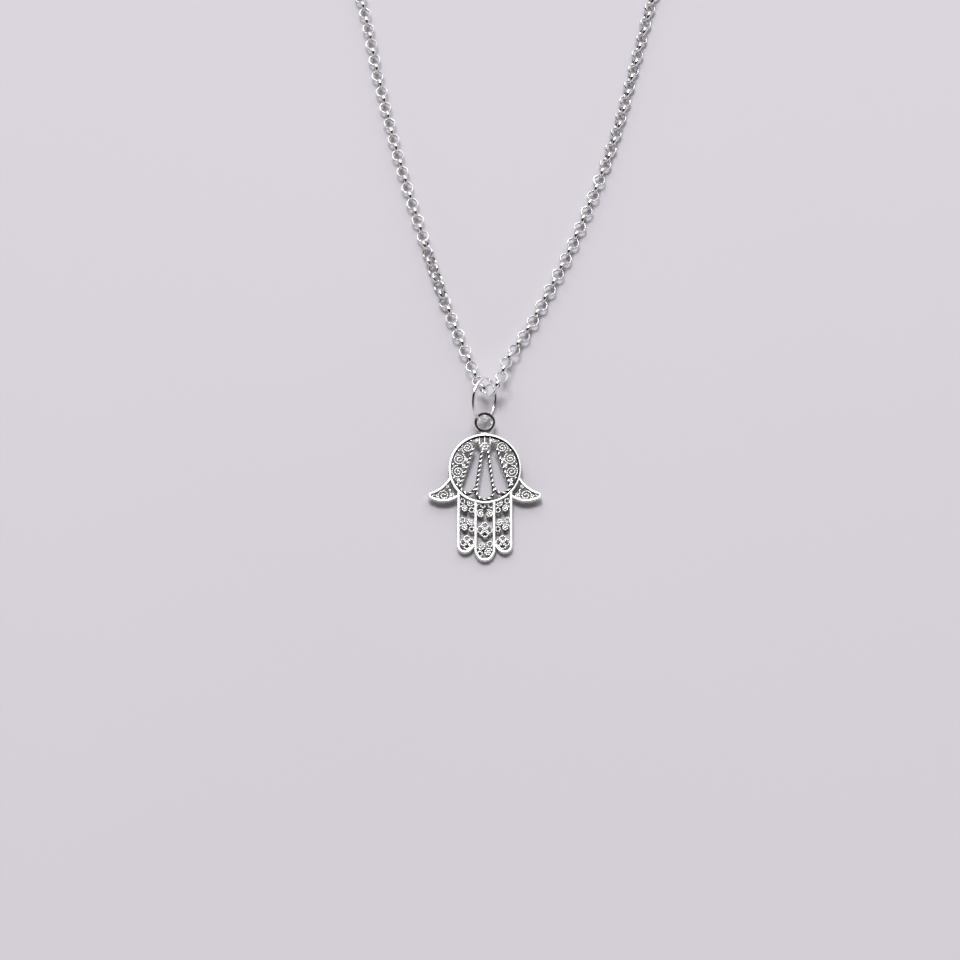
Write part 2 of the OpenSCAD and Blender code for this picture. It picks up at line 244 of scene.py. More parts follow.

# %% [markdown]
# ## Silver
#
# All the pieces are silver, and they differ in finish: the strip and the rolled filigree are satin,
# the rope and the rings are polished, and the links are bright from tumbling. Black oxide stays where
# no polishing wheel reaches. Painted shade darkens the same places and the lower sides of the pieces.
# Two effects are shared, so each is a node group that is built once. The first gives the fine dents
# and scratches of handling. The second gives how far a place is left bright or darkened by oxide and
# painted shade.

# %% Shared effect: fine marks
def group(name, inputs, outputs):
    """An empty shader group, with its inner ends: what it is given and what it results in."""
    made = bpy.data.node_groups.new(name, "ShaderNodeTree")
    for label, kind in inputs:
        made.interface.new_socket(label, in_out="INPUT", socket_type="NodeSocket" + kind)
    for label, kind in outputs:
        made.interface.new_socket(label, in_out="OUTPUT", socket_type="NodeSocket" + kind)
    return made, made.nodes.new("NodeGroupInput").outputs, made.nodes.new("NodeGroupOutput").inputs


SCRATCH_DEPTH = 0.25

marks, given, result = group(
    "fine marks",
    [("Vector", "Vector"), ("Dent Scale", "Float"), ("Scratch Scale", "Float")],
    [("Height", "Float"), ("Mask", "Float")])
dents = node(marks, "ShaderNodeTexNoise", {
    "Vector": given["Vector"], "Scale": given["Dent Scale"], "Detail": 3.0, "Roughness": 0.55})
turned = node(marks, "ShaderNodeMapping", {
    "Vector": given["Vector"], "Rotation": (0.3, 0.2, 0.9), "Scale": (0.12, 1.0, 0.4)})
scratches = node(marks, "ShaderNodeTexNoise", {
    "Vector": turned.outputs[0], "Scale": given["Scratch Scale"], "Detail": 2.0})
fine = node(marks, "ShaderNodeMapRange", {
    "Value": scratches.outputs[0], "From Min": 0.52, "From Max": 0.75}).outputs[0]
cut = sums(marks, "MULTIPLY", fine, SCRATCH_DEPTH)
marks.links.new(sums(marks, "SUBTRACT", dents.outputs[0], cut), result["Height"])
marks.links.new(sums(marks, "MULTIPLY", fine, dents.outputs[0]), result["Mask"])
print("shared effect:", marks.name)

# %% Shared effect: bright edges, and hollows darkened by oxide and painted shade
LEAST_DULLED = 0.975

wear, given, result = group(
    "bright and dull",
    [("Vector", "Vector"), ("Darkening", "Float"), ("Patch Scale", "Float"), ("Bright", "Color"),
     ("Dull", "Color")],
    [("Color", "Color"), ("Mask", "Float")])
patches = node(wear, "ShaderNodeTexNoise", {
    "Vector": given["Vector"], "Scale": given["Patch Scale"], "Detail": 4.0})
spread = node(wear, "ShaderNodeMapRange", {
    "Value": patches.outputs[0], "From Min": 0.3, "From Max": 0.7,
    "To Min": LEAST_DULLED}).outputs[0]
dulled = sums(wear, "MULTIPLY", given["Darkening"], spread)
wear.links.new(mixed(wear, dulled, given["Bright"], given["Dull"]), result["Color"])
wear.links.new(dulled, result["Mask"])
print("shared effect:", wear.name)

# %% [markdown]
# Each finish is one material. It reads the place on the piece in millimetres, and the attribute of
# oxide and painted shade that every piece carries: 0 where it is left bright, 1 where it is darkest.
# What is dark there is black oxide with painted shade on the filigree, a painted reflection on the
# eye, and painted shade as a greyer silver on the ring, the clasp and the links.

# %% Silver finishes
SILVER = (0.93, 0.925, 0.915, 1)
# GREY_SILVER is painted shade: the ring, the clasp and the links turn to it on their lower sides.
GREY_SILVER = (0.6, 0.59, 0.58, 1)
# The dark colours of the solder and the filigree stand for oxide and painted shade together.
SOLDER_OXIDE_AND_SHADE = (0.07, 0.069, 0.067, 1)
OXIDE_AND_SHADE = (0.02, 0.0195, 0.019, 1)
# The eye's dark band: a painted reflection, not oxide.
PAINTED_DARK_REFLECTION = (0.006, 0.006, 0.006, 1)
PATCH_SCALE = 1.1
DARKENING_BLUR = 0.8
BUMP_DEPTH = 0.04 * MM


def silver(name, dull, dents, scratches, smooth, rough, bump):
    """A finish: its dull colour, scales of its marks, least and most roughness, and its bumps."""
    made = bpy.data.materials.new(name)
    made.use_nodes = True
    tree = made.node_tree
    shader = tree.nodes["Principled BSDF"]
    place = node(tree, "ShaderNodeVectorMath", {
        0: node(tree, "ShaderNodeTexCoord").outputs["Object"], "Scale": 1 / MM},
        operation="SCALE").outputs[0]
    oxide_and_painted_shade = node(tree, "ShaderNodeAttribute", attribute_name="oxide_and_painted_shade").outputs["Fac"]
    handled = node(tree, "ShaderNodeGroup", node_tree=marks)
    tree.links.new(place, handled.inputs["Vector"])
    handled.inputs["Dent Scale"].default_value = dents
    handled.inputs["Scratch Scale"].default_value = scratches
    tone = node(tree, "ShaderNodeGroup", node_tree=wear)
    tree.links.new(place, tone.inputs["Vector"])
    tree.links.new(oxide_and_painted_shade, tone.inputs["Darkening"])
    tone.inputs["Patch Scale"].default_value = PATCH_SCALE
    tone.inputs["Bright"].default_value = SILVER
    tone.inputs["Dull"].default_value = dull
    blur = sums(tree, "MAXIMUM", handled.outputs["Mask"],
                sums(tree, "MULTIPLY", tone.outputs["Mask"], DARKENING_BLUR))
    roughness = node(tree, "ShaderNodeMapRange", {
        "Value": blur, "To Min": smooth, "To Max": rough})
    raised = node(tree, "ShaderNodeBump", {
        "Height": handled.outputs["Height"], "Strength": bump, "Distance": BUMP_DEPTH})
    tree.links.new(tone.outputs["Color"], shader.inputs["Base Color"])
    tree.links.new(roughness.outputs[0], shader.inputs["Roughness"])
    tree.links.new(raised.outputs[0], shader.inputs["Normal"])
    shader.inputs["Metallic"].default_value = 1.0
    return made


STRIP = silver("satin strip", OXIDE_AND_SHADE, 1.4, 9.0, 0.42, 0.55, 0.5)
ROLLED = silver("rolled filigree wire", OXIDE_AND_SHADE, 3.0, 14.0, 0.34, 0.5, 0.6)
ROPE = silver("twisted rope wire", OXIDE_AND_SHADE, 3.0, 14.0, 0.10, 0.38, 0.4)
SOLDER = silver("solder and grains", SOLDER_OXIDE_AND_SHADE, 2.2, 8.0, 0.24, 0.42, 0.6)
ROUND = silver("bright round wire", GREY_SILVER, 1.6, 10.0, 0.06, 0.16, 0.3)
PAINTED_BAND_RING = silver("ring with a painted dark band", PAINTED_DARK_REFLECTION, 1.6, 10.0, 0.08, 0.20, 0.3)
LINKS = silver("tumbled links", GREY_SILVER, 2.0, 12.0, 0.15, 0.24, 0.3)
print("finishes:", [m.name for m in bpy.data.materials if m.use_nodes])

# %% [markdown]
# ## Geometry Nodes that follow a drawn line
#
# Filigree is nearly all wire that follows a line. So each line is drawn once, as a chain of points
# in a mesh without faces, and a tree sweeps a wire along it. The helpers below make an empty tree
# with named inputs and give every tree the same end. They also draw the lines, run a tree, and keep
# the plain mesh that comes out.

# %% Helpers for the start and the end of a tree
def new_tree(name, *inputs):
    """An empty tree with named inputs, and the links that its inputs give."""
    tree = bpy.data.node_groups.new(name, "GeometryNodeTree")
    for label, kind in (("Geometry", "Geometry"), *inputs, ("Material", "Material")):
        tree.interface.new_socket(label, in_out="INPUT", socket_type="NodeSocket" + kind)
    tree.interface.new_socket("Geometry", in_out="OUTPUT", socket_type="NodeSocketGeometry")
    return tree, tree.nodes.new("NodeGroupInput").outputs


def falling(tree, top, depth):
    """0 above the given top, up to 1 lower down, for oxide and painted shade, times the shade drawn
    on the line.
    """
    place = node(tree, "GeometryNodeInputPosition").outputs[0]
    height = node(tree, "ShaderNodeSeparateXYZ", {0: place}).outputs["Z"]
    fall = node(tree, "ShaderNodeMapRange", {
        "Value": height, "From Min": top, "From Max": sums(tree, "SUBTRACT", top, depth)})
    drawn_shade = node(tree, "GeometryNodeInputNamedAttribute", {"Name": "shade"}).outputs
    shade = node(tree, "GeometryNodeSwitch", {
        "Switch": drawn_shade["Exists"], "False": 1.0, "True": drawn_shade["Attribute"]},
        input_type="FLOAT")
    return sums(tree, "MULTIPLY", fall.outputs[0], shade.outputs[0])


def ending(tree, shape, oxide_and_painted_shade, material):
    """The end of every tree: the attribute of oxide and painted shade, smooth shading, real geometry
    and a material.
    """
    real = node(tree, "GeometryNodeRealizeInstances", {0: shape})
    stored = node(tree, "GeometryNodeStoreNamedAttribute", {
        "Geometry": real.outputs[0], "Name": "oxide_and_painted_shade", "Value": oxide_and_painted_shade})
    smooth = node(tree, "GeometryNodeSetShadeSmooth", {0: stored.outputs[0]})
    painted = node(tree, "GeometryNodeSetMaterial", {
        "Geometry": smooth.outputs[0], "Material": material})
    node(tree, "NodeGroupOutput", {0: painted.outputs[0]})
    print("tree:", tree.name, "nodes:", len(tree.nodes))


# %% Helpers that draw lines and run a tree on them
def drawn(paths, **values):
    """Lines of points in mm as one mesh of edges. A path that ends where it starts is closed."""
    points, edges, start = [], [], 0
    for path in paths:
        closed = len(path) > 2 and (Vector(path[0]) - Vector(path[-1])).length < 1e-6
        path = path[:-1] if closed else path
        points += [tuple(p) for p in path]
        edges += [(start + i, start + i + 1) for i in range(len(path) - 1)]
        edges += [(start + len(path) - 1, start)] if closed else []
        start = len(points)
    mesh = bpy.data.meshes.new("drawn")
    mesh.from_pydata(points, edges, [])
    for name, numbers in values.items():
        mesh.attributes.new(name, "FLOAT", "POINT").data.foreach_set("value", numbers)
    made = bpy.data.objects.new("drawn", mesh)
    bpy.context.scene.collection.objects.link(made)
    return made


def grown(source, tree, place, **values):
    """Runs a tree on drawn lines, and returns the mesh it makes, put in place."""
    modifier = source.modifiers.new("grow", "NODES")
    modifier.node_group = tree
    names = {item.name: item.identifier for item in tree.interface.items_tree
             if item.in_out == "INPUT"}
    for label, value in values.items():
        modifier[names[label.replace("_", " ")]] = value
    shape = source.evaluated_get(bpy.context.evaluated_depsgraph_get())
    mesh = bpy.data.meshes.new_from_object(shape)
    bpy.data.objects.remove(source)
    mesh.transform(place)
    print(tree.name, "faces:", len(mesh.polygons))
    return mesh


# %% Tree: a wire swept along lines
sweep, given = new_tree(
    "swept wire", ("Width", "Float"), ("Height", "Float"), ("Rounding", "Float"), ("Rounds", "Int"),
    ("Step", "Float"), ("Ripple", "Float"), ("Pitch", "Float"), ("Top", "Float"), ("Fall", "Float"))
line = node(sweep, "GeometryNodeMeshToCurve", {0: given["Geometry"]})
even = node(sweep, "GeometryNodeResampleCurve", {0: line.outputs[0], "Length": given["Step"]},
            mode="LENGTH")
level = node(sweep, "GeometryNodeSetCurveNormal", {0: even.outputs[0]}, mode="Z_UP")
outline = node(sweep, "GeometryNodeCurvePrimitiveQuadrilateral", {
    "Width": given["Width"], "Height": given["Height"]})
profile = node(sweep, "GeometryNodeFilletCurve", {
    "Curve": outline.outputs[0], "Count": given["Rounds"], "Radius": given["Rounding"],
    "Limit Radius": True}, mode="POLY")
along = node(sweep, "GeometryNodeSplineParameter").outputs["Length"]
wave = sums(sweep, "SINE", sums(sweep, "DIVIDE", sums(sweep, "MULTIPLY", along, 2 * pi),
                                given["Pitch"]))
girth = sums(sweep, "ADD", sums(sweep, "MULTIPLY", wave, given["Ripple"]), 1.0)
wire = node(sweep, "GeometryNodeCurveToMesh", {
    "Curve": level.outputs[0], "Profile Curve": profile.outputs[0], "Scale": girth,
    "Fill Caps": True})
ending(sweep, wire.outputs[0], falling(sweep, given["Top"], given["Fall"]), given["Material"])

# %% Tree: a rope of strands twisted round lines
twist, given = new_tree(
    "twisted rope", ("Strands", "Int"), ("Strand", "Float"), ("Lay", "Float"), ("Pitch", "Float"),
    ("Step", "Float"))
line = node(twist, "GeometryNodeMeshToCurve", {0: given["Geometry"]})
even = node(twist, "GeometryNodeResampleCurve", {0: line.outputs[0], "Length": given["Step"]},
            mode="LENGTH")
level = node(twist, "GeometryNodeSetCurveNormal", {0: even.outputs[0]}, mode="Z_UP")
spine = node(twist, "GeometryNodeStoreNamedAttribute", {
    "Geometry": level.outputs[0], "Name": "spine",
    "Value": node(twist, "GeometryNodeInputPosition").outputs[0]}, data_type="FLOAT_VECTOR")
copies = node(twist, "GeometryNodeDuplicateElements", {
    0: spine.outputs[0], "Amount": given["Strands"]}, domain="SPLINE")
share = sums(twist, "DIVIDE", copies.outputs["Duplicate Index"], given["Strands"])
turns = sums(twist, "DIVIDE", node(twist, "GeometryNodeSplineParameter").outputs["Length"],
             given["Pitch"])
angle = sums(twist, "MULTIPLY", sums(twist, "ADD", turns, share), 2 * pi)
sideways = node(twist, "GeometryNodeInputNormal").outputs[0]
upwards = node(twist, "ShaderNodeVectorMath", {
    0: node(twist, "GeometryNodeInputTangent").outputs[0], 1: sideways}, operation="CROSS_PRODUCT")
out, up = (node(twist, "ShaderNodeVectorMath", {
    0: way, "Scale": sums(twist, "MULTIPLY", sums(twist, part, angle), given["Lay"])},
    operation="SCALE") for way, part in ((sideways, "COSINE"), (upwards.outputs[0], "SINE")))
shift = node(twist, "ShaderNodeVectorMath", {0: out.outputs[0], 1: up.outputs[0]}, operation="ADD")
wound = node(twist, "GeometryNodeSetPosition", {0: copies.outputs[0], "Offset": shift.outputs[0]})
strand = node(twist, "GeometryNodeCurvePrimitiveCircle", {
    "Resolution": 7, "Radius": sums(twist, "DIVIDE", given["Strand"], 2.0)})
rope = node(twist, "GeometryNodeCurveToMesh", {
    "Curve": wound.outputs[0], "Profile Curve": strand.outputs[0], "Fill Caps": True})
middle_of = node(twist, "GeometryNodeInputNamedAttribute", {"Name": "spine"},
                 data_type="FLOAT_VECTOR")
away = node(twist, "ShaderNodeVectorMath", {
    0: node(twist, "GeometryNodeInputPosition").outputs[0], 1: middle_of.outputs["Attribute"]},
    operation="DISTANCE").outputs["Value"]
# The inner side of each strand, in the groove between the strands, darkens: partly oxide, partly
# painted shade.
bright_from, dull_to = (
    sums(twist, "ADD", given["Lay"], sums(twist, "MULTIPLY", given["Strand"], share))
    for share in (0.42, 0.22))
groove = node(twist, "ShaderNodeMapRange", {
    "Value": away, "From Min": bright_from, "From Max": dull_to})
ending(twist, rope.outputs[0], groove.outputs[0], given["Material"])

# %% Tree: grains set on points
# Below a bright cap each grain darkens towards its foot: partly oxide, partly painted shade.
BRIGHT_CAP = 0.35

beads, given = new_tree("grains", ("Diameter", "Float"), ("Spread", "Float"), ("Seed", "Int"),
                        ("Top", "Float"))
grain = node(beads, "GeometryNodeMeshIcoSphere", {
    "Radius": sums(beads, "DIVIDE", given["Diameter"], 2.0), "Subdivisions": 3})
size = node(beads, "FunctionNodeRandomValue", {
    2: sums(beads, "SUBTRACT", 1.0, given["Spread"]), 3: sums(beads, "ADD", 1.0, given["Spread"]),
    "Seed": given["Seed"]}, data_type="FLOAT")
spots = node(beads, "GeometryNodeMeshToPoints", {0: given["Geometry"]})
set_down = node(beads, "GeometryNodeInstanceOnPoints", {
    "Points": spots.outputs[0], "Instance": grain.outputs[0], "Scale": size.outputs[1]})
depth = sums(beads, "MULTIPLY", given["Diameter"], BRIGHT_CAP)
ending(beads, set_down.outputs[0], falling(beads, given["Top"], depth), given["Material"])

# %% [markdown]
# ## The strip frame
#
# The outline of the hand is thin flat strip stood on edge: a ring for the palm, three loops for the
# fingers and two for the thumbs, soldered where they meet. The lines below run along the middle of
# the strip, half its width inside the outline. Corners and tips are arcs, joined by straight runs.

# %% Lines of the strip
def arc(centre, radius, start, turn, height=0.0, step=0.12):
    """Points along part of a circle, in mm. Angles are in degrees, anticlockwise."""
    count = max(6, math.ceil(abs(radians(turn)) * radius / step))
    return [(centre[0] + radius * cos(radians(start + turn * i / count)),
             centre[1] + radius * sin(radians(start + turn * i / count)), height)
            for i in range(count + 1)]


def mirrored(paths):
    """The paths, and their mirror images across the pendant's middle."""
    return paths + [[(-x, y, z) for x, y, z in path] for path in paths]


HALF = WALL_W / 2
MID = WALL_H / 2
TIP_R = 1.3
MIDDLE_TIP_R = 1.5
SIDE_SLOPE = 45
MIDDLE_SLOPE = 60
RING_LINE = PALM_R - HALF


def root_y(x):
    """Height at which a wall at x runs into the middle of the palm ring's strip."""
    return -math.sqrt(RING_LINE ** 2 - x ** 2)


palm_ring = arc((0, 0), RING_LINE, 90, 360, MID)
side_x = BLOCK_W / 2 - TIP_R
outer_x = BLOCK_W / 2 - HALF
inner_x = MIDDLE_W / 2 - HALF
tip = arc((side_x, TIP_R - SIDE_REACH), TIP_R - HALF, 0, -90 - SIDE_SLOPE, MID)
notch_y = tip[-1][1] + (tip[-1][0] - inner_x) * math.tan(radians(SIDE_SLOPE))
side_finger = [(outer_x, root_y(outer_x), MID)] + tip + [(inner_x, notch_y, MID)]

top_turn = 90 - MIDDLE_SLOPE
half_tip = arc((0, MIDDLE_TIP_R - MIDDLE_REACH), MIDDLE_TIP_R - HALF, -top_turn, top_turn - 90, MID)
shoulder_y = half_tip[0][1] + (inner_x - half_tip[0][0]) * math.tan(radians(MIDDLE_SLOPE))
half_middle = [(inner_x, root_y(inner_x), MID), (inner_x, shoulder_y, MID)] + half_tip
middle_finger = half_middle + [(-x, y, z) for x, y, z in reversed(half_middle[:-1])]
print("lines:", len(palm_ring), len(side_finger), len(middle_finger), "points")

# %% Lines of the thumbs
THUMB_TIP_R = 0.68
THUMB_AT = (SPAN / 2 - THUMB_TIP_R, -0.763 * PALM_R)
UPPER_ROOT = radians(14)


def circle_through(a, b, c):
    """Centre and radius of the circle through three points."""
    d = 2 * (a[0] * (b[1] - c[1]) + b[0] * (c[1] - a[1]) + c[0] * (a[1] - b[1]))
    square_a, square_b, square_c = (p[0] ** 2 + p[1] ** 2 for p in (a, b, c))
    x = (square_a * (b[1] - c[1]) + square_b * (c[1] - a[1]) + square_c * (a[1] - b[1])) / d
    y = (square_a * (c[0] - b[0]) + square_b * (a[0] - c[0]) + square_c * (b[0] - a[0])) / d
    return (x, y), math.hypot(x - a[0], y - a[1])


def upper_root(radius):
    """Where the thumb's upper edge meets a circle round the palm."""
    return radius * cos(UPPER_ROOT), -radius * sin(UPPER_ROOT)


def beside(out, up):
    """A place on the thumb's edge: share of the way out, and share of the palm's radius."""
    return PALM_R + out * (SPAN / 2 - PALM_R), up * PALM_R


def arc_between(centre, radius, first, last, height):
    """The short way round a circle from one angle to another."""
    turn = (last - first + 180) % 360 - 180
    return arc(centre, radius, first, turn, height)


def bearing(centre, point):
    return math.degrees(math.atan2(point[1] - centre[1], point[0] - centre[0]))


low_root = (BLOCK_W / 2 - HALF, -0.74 * PALM_R)
low_end = (THUMB_AT[0], THUMB_AT[1] - THUMB_TIP_R + HALF)
top_end = (THUMB_AT[0], THUMB_AT[1] + THUMB_TIP_R - HALF)
low_centre, low_r = circle_through(
    (BLOCK_W / 2 - WALL_W, -0.78 * PALM_R), beside(0.28, -0.945),
    (THUMB_AT[0], THUMB_AT[1] - THUMB_TIP_R))
top_centre, top_r = circle_through(
    upper_root(PALM_R), beside(0.45, -0.55), (THUMB_AT[0], THUMB_AT[1] + THUMB_TIP_R))
thumb = (arc_between(low_centre, low_r - HALF, bearing(low_centre, low_root),
                     bearing(low_centre, low_end), MID)
         + arc(THUMB_AT, THUMB_TIP_R - HALF, -90, 180, MID)[1:-1]
         + arc_between(top_centre, top_r + HALF, bearing(top_centre, top_end),
                       bearing(top_centre, upper_root(PALM_R - HALF)), MID))
print("thumb line:", len(thumb), "points")

# %% [markdown]
# The kinds of strip differ by a few hundredths of a millimetre in height, as filed strip does, so no
# two top faces lie in exactly the same plane where they cross. The walls of the palm ring and of the
# thumbs' upper edges darken below the top. This is partly oxide and partly painted shade, for the
# dark that these walls reflect from inside the hand. The other walls are rubbed nearly bright. Each
# point of a line carries that as its shade.

# %% Sweep the strip
def strip(paths, trim, shade):
    """Strip along the paths, lower by the trim, with a shade for each point."""
    return grown(drawn(paths, shade=shade), sweep, LAID, Width=WALL_W, Height=WALL_H - trim,
                 Rounding=0.17, Rounds=4, Step=0.13, Ripple=0.0, Pitch=1.0, Top=WALL_H - 0.05,
                 Fall=0.14, Material=STRIP)


DARK_SHADE = 1.0
OPEN_SHADE = 0.15
UPPER_EDGE = THUMB_AT[1] + 0.3

thumb_shade = [DARK_SHADE if y > UPPER_EDGE else OPEN_SHADE for x, y, z in thumb]
strips = [strip([palm_ring], 0.0, [DARK_SHADE] * (len(palm_ring) - 1)),
          strip(mirrored([side_finger]), 0.03, [OPEN_SHADE] * 2 * len(side_finger)),
          strip([middle_finger], 0.05, [OPEN_SHADE] * len(middle_finger)),
          strip(mirrored([thumb]), 0.07, thumb_shade * 2)]

# %% [markdown]
# A dark line is also painted along the inner side of the palm ring's top, wider on the right than on
# the left. It is painted shade: the dark that this wall reflects from the shadowed inside of the
# hand. The finished mesh has points right round the strip, so each one is brought back to the flat
# drawing, and how far it lies inside the strip's middle line sets how dark it is.

# %% Painted shade inside the palm ring
WIDEST_AT = radians(15)
SHADE_LINE_EDGE = 0.1
SHADE_LINE_DRIFT = 0.09
SHADE_LINE_FADE = 0.06

unlaid = LAID.inverted()
painted_line = strips[0].attributes["oxide_and_painted_shade"].data
for vertex, value in zip(strips[0].vertices, painted_line):
    p = unlaid @ vertex.co
    right = (p.x * cos(WIDEST_AT) + p.y * sin(WIDEST_AT)) / RING_LINE
    edge = SHADE_LINE_EDGE - SHADE_LINE_DRIFT * right
    inward = (RING_LINE - math.hypot(p.x, p.y) - edge) / SHADE_LINE_FADE
    value.value = max(value.value, min(max(inward, 0), 1))
print("points of the palm ring:", len(painted_line), "dark:", sum(d.value > 0.5 for d in painted_line))

# %% [markdown]
# ## Petals of twisted rope
#
# Three long petals fan out below the grains. They are rope wire, two strands twisted together. The
# middle one is bent like a hairpin. The two beside it are hooks that lean against the hairpin, so
# neighbours share a side. The tree turns the strands round the line.

# %% Petal lines and rope
PETAL_R = 0.24 * FIELD_R
SIDE_TURN = 194

# Start, middle of the round end, both in shares of the field, and the round end's radius
middle_petal = ((0.083, 0.574), (0.0, -0.700), 1.08 * PETAL_R)
side_petal = ((0.343, 0.667), (0.511, -0.540), 0.93 * PETAL_R)


def hook(start, end, radius, turn=None):
    """A side that runs down to touch its round end, and on round it."""
    start, end = Vector(start) * FIELD_R, Vector(end) * FIELD_R
    run = end - start
    slant = math.degrees(math.atan2(run.y, run.x) + math.asin(radius / run.length))
    round_end = arc(end, radius, slant + 90, -(turn or slant + 180), MID)
    return [(start.x, start.y, MID)] + round_end


half_hairpin = hook(*middle_petal)
hairpin = half_hairpin + [(-x, y, z) for x, y, z in reversed(half_hairpin[:-1])]
petal_lines = [hairpin] + mirrored([hook(*side_petal, SIDE_TURN)])
ropes = [grown(drawn(petal_lines), twist, LAID, Strands=2, Strand=0.4, Lay=0.15, Pitch=1.6,
               Step=0.07, Material=ROPE)]

# %% [markdown]
# ## Scrolls of rolled wire
#
# The rest of the filling is finer: two thin wires twisted, rolled flat and set on edge, then coiled
# into scrolls. Rolling leaves a small step at each turn of the twist, and the sweep's ripple gives
# that milled edge. A scroll is half circles that tighten towards a bead in the middle.

# %% Scroll lines
WIRE_W = 0.3
WIRE_H = 0.5
TIGHTEN = 0.92
TOUCH = WIRE_W / 3


def scroll(reach, coils):
    """Half circles that tighten inside a circle of the given reach."""
    line, centre, radius = [], 0.0, reach - WIRE_W / 2
    shrink = radius * TIGHTEN / coils
    for i in range(coils):
        line += arc((centre, 0), radius, 180 * i, 180, MID, step=0.06)[1 if i else 0:]
        centre += (-1 if i % 2 == 0 else 1) * shrink
        radius -= shrink
    return line


def turned(path, angle):
    """A path turned about the origin by degrees."""
    c, s = cos(radians(angle)), sin(radians(angle))
    return [(x * c - y * s, x * s + y * c, z) for x, y, z in path]


def moved(path, x, y, hand=1):
    """A path moved to a place, and mirrored first where the hand is -1."""
    return [(x + hand * px, y + py, z) for px, py, z in path]


# Centre across and up, reach, all in shares of a radius; turn in degrees; hand; half circles
palm_scrolls = [
    (0.524, 0.650, 0.190, 300, 1, 4), (0.756, 0.330, 0.196, 120, 1, 4),
    (0.798, -0.074, 0.203, 90, -1, 4), (0.560, 0.270, 0.080, 20, 1, 2),
    (0.640, 0.090, 0.080, 250, -1, 2), (0.800, -0.370, 0.086, 60, 1, 2),
    (0.262, 0.890, 0.086, 200, -1, 2)]
thumb_scrolls = [(1.102, -0.741, 0.196, 150, 1, 4), (1.370, -0.824, 0.104, 0, -1, 2),
                 (0.911, -0.759, 0.094, 90, 1, 2), (1.034, -0.500, 0.075, 60, 1, 2)]


def field(table, whole):
    """The scrolls of a table, in mm, for the radius that its shares are of."""
    return [moved(turned(scroll(reach * whole, coils), turn), x * whole, y * whole, hand)
            for x, y, reach, turn, hand, coils in table]


palm_lines = field(palm_scrolls, FIELD_R) + field(thumb_scrolls, PALM_R)
print("scrolls on one side:", len(palm_lines))

# %% Motifs in the fingers
def circle(x, y, radius):
    return moved(arc((0, 0), radius, 0, 360, MID, step=0.06), x, y)


def horns(w):
    """Two scrolls side by side. All motifs are drawn for a finger of width w."""
    half = moved(turned(scroll(w / 4 + TOUCH, 3), 60), -w / 4, 0)
    return mirrored([half])


def crossed(w):
    """Two scrolls and two small rings, each pair in opposite corners."""
    corner = [moved(turned(scroll(w / 4 + TOUCH, 3), 200), -w / 4, w / 5),
              circle(w / 3, w / 3, w / 6)]
    return corner + [turned(path, 180) for path in corner]


def flower(w):
    """Four rings round a middle."""
    return [turned(circle(w / 4, 0, w / 4 - TOUCH / 2), 90 * i) for i in range(4)]


def waves(w):
    """Half circles in a row, up and down by turns."""
    row = [arc(((1.5 - i) * w / 4, 0), w / 8, 0, 180 if i % 2 else -180, MID, step=0.06)
           for i in range(4)]
    return [row[0] + row[1][1:] + row[2][1:] + row[3][1:]]


side_w = BLOCK_W / 2 - WALL_W - MIDDLE_W / 2
side_at = (MIDDLE_W + side_w) / 2
middle_w = MIDDLE_W - 2 * WALL_W

# Share of the way down the finger, a step down in finger widths, and the motif
side_motifs = [(0, 0.11, crossed), (0.415, 0, crossed), (1, -0.834, flower)]
middle_motifs = [(0, 0.12, waves), (0, 0.62, horns), (0.449, 0, flower), (1, -0.852, crossed)]


def motif_y(way, step, reach, w):
    """Height of a motif in a finger that reaches so far down."""
    return -PALM_R - way * (reach - PALM_R) - step * w


def filling(motifs, reach, w, x):
    """All the lines of a finger's motifs."""
    return [moved(path, x, motif_y(way, step, reach, w))
            for way, step, motif in motifs for path in motif(w)]


finger_lines = (filling(middle_motifs, MIDDLE_REACH, middle_w, 0)
                + mirrored(filling(side_motifs, SIDE_REACH, side_w, side_at)))
print("lines in the fingers:", len(finger_lines))

# %% Sweep the scrolls
# The rolled wire darkens below its given top: partly oxide, partly painted shade.
SCROLL_TOP = WALL_H * 0.715

scroll_lines = mirrored(palm_lines) + finger_lines
scrolls = [grown(drawn(scroll_lines), sweep, LAID, Width=WIRE_W, Height=WIRE_H, Rounding=0.11,
                 Rounds=2, Step=0.055, Ripple=0.12, Pitch=0.33, Top=SCROLL_TOP, Fall=0.1,
                 Material=ROLLED)]

# %% [markdown]
# ## Grains and solder
#
# Grains are tiny balls, melted from snippets of wire and soldered in a heap where the petals meet.
# Smaller beads close each scroll and the middle of each flower, and fill some corners between the
# scrolls and the strip. Three short struts hold the heap to the ring. Solder leaves a low mound
# between the eye and the palm.

# %% Grains
GRAIN_D = 0.115 * FIELD_R
GRAIN_ROWS = (4, 3, 2)
GRAIN_STEP = 0.92 * GRAIN_D
GRAIN_TOP = 0.787 * FIELD_R
GRAIN_Z = MID + 0.05
ROW_STEP = GRAIN_STEP * sin(radians(60))

# Bearings of the palm's corner beads, how far out they sit, and the place of a thumb's bead
BEAD_BEARINGS = (64.6, 36, 8.5, -17, -31)
BEAD_OUT = 0.963 * FIELD_R
THUMB_BEAD = (0.949 * PALM_R, -0.610 * PALM_R, MID)

